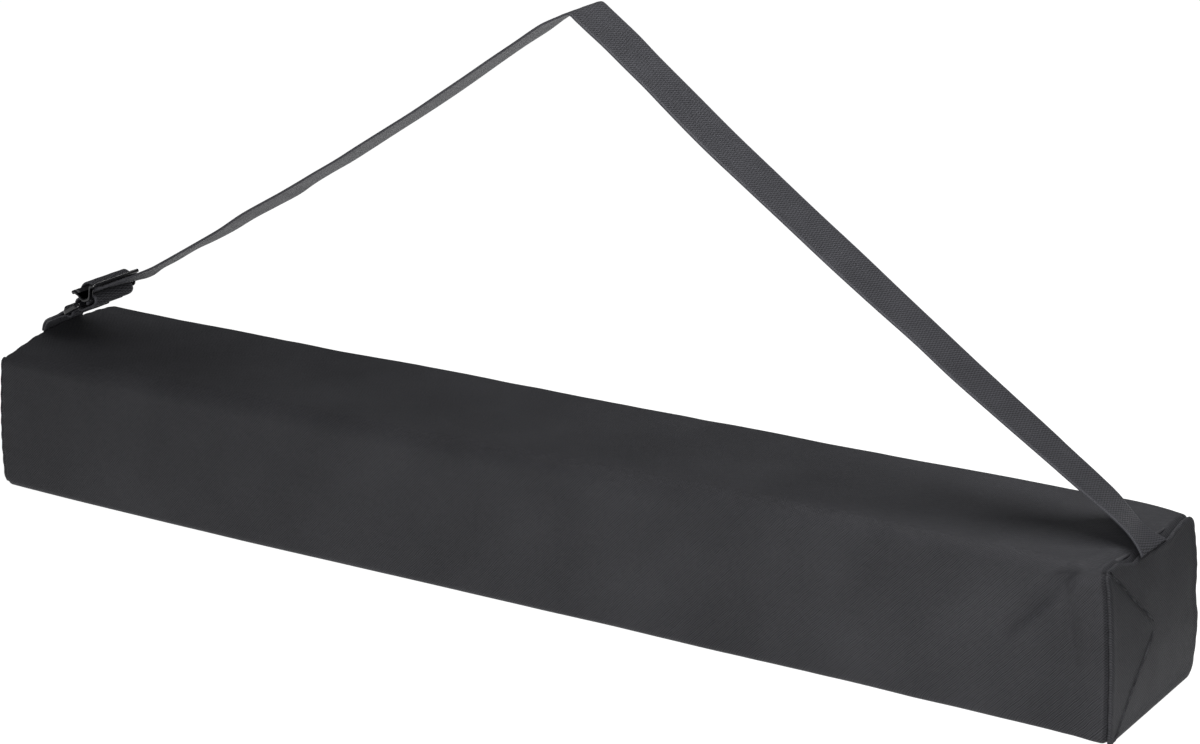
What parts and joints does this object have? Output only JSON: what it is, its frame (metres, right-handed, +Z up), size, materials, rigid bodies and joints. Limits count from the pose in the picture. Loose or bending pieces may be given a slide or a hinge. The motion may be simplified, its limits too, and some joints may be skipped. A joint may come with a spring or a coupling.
{
  "type": "carry bag",
  "caption": "Long square zipped carry bag of black oxford cloth for folded light or backdrop stands, with an adjustable webbing shoulder strap held up.",
  "frame": {"origin": "centre of the bounding box, on the surface the bag rests on", "axes": "+X along the bag towards the end where the strap is sewn in, -Y the plain front face, +Y the back with the zip, +Z up"},
  "size_m": [0.82, 0.1196, 0.3639],
  "materials": {
    "oxford_cloth": "600D polyester oxford, coated on the inside, matt with a slight sheen",
    "binding_tape": "plain woven binding tape",
    "zip_tape": "woven polyester tape",
    "nylon_coil": "nylon monofilament coil",
    "zip_metal": "zinc die casting, black lacquer",
    "thread": "polyester sewing thread",
    "webbing": "ribbed polyester webbing",
    "acetal": "injection moulded acetal, glossy black"
  },
  "bodies": {
    "bag": {"body_wrap": "oxford_cloth", "end_panel_left": "oxford_cloth", "end_panel_right": "oxford_cloth", "seam_binding_left": "binding_tape", "seam_binding_right": "binding_tape", "zip_tape_upper": "zip_tape", "zip_tape_lower": "zip_tape", "zip_coil_upper": "nylon_coil", "zip_coil_lower": "nylon_coil", "zip_top_stops": "zip_metal", "zip_bottom_stop": "zip_metal", "zip_topstitch_upper": "thread", "zip_topstitch_lower": "thread", "strap_root": "webbing", "tab_root": "webbing"},
    "slider": {"zip_slider": "zip_metal"},
    "pull": {"zip_pull": "zip_metal"},
    "strap": {"strap_webbing": "webbing", "tab_loop": "webbing", "tab_bartack": "thread", "strap_return": "webbing"},
    "ring": {"strap_ring": "acetal"},
    "adjuster": {"slide_adjuster": "acetal", "end_fold": "webbing", "fold_bartack": "thread"}
  },
  "joints": [
    {"name": "zip_slide", "type": "slide", "parent": "bag", "child": "slider", "axis": [-1, 0, 0], "range_m": [0, 0.758]},
    {"name": "pull_swing", "type": "hinge", "parent": "slider", "child": "pull", "pos_m": [0.3795, 0.05775, 0.05], "axis": [0, 0, -1], "range_deg": [0, 180]},
    {"name": "strap_swing", "type": "hinge", "parent": "bag", "child": "strap", "pos_m": [0, -0.00285, 0.125], "axis": [1, 0, 0], "range_deg": [-80, 80]},
    {"name": "ring_tilt", "type": "hinge", "parent": "strap", "child": "ring", "pos_m": [-0.37753, -0.00285, 0.12187], "axis": [0, 1, 0], "range_deg": [-4, 4]},
    {"name": "adjuster_slide", "type": "slide", "parent": "strap", "child": "adjuster", "axis": [0.8829, 0, 0.4695], "range_m": [0, 0.2], "deforming": ["strap_return"]}
  ]
}
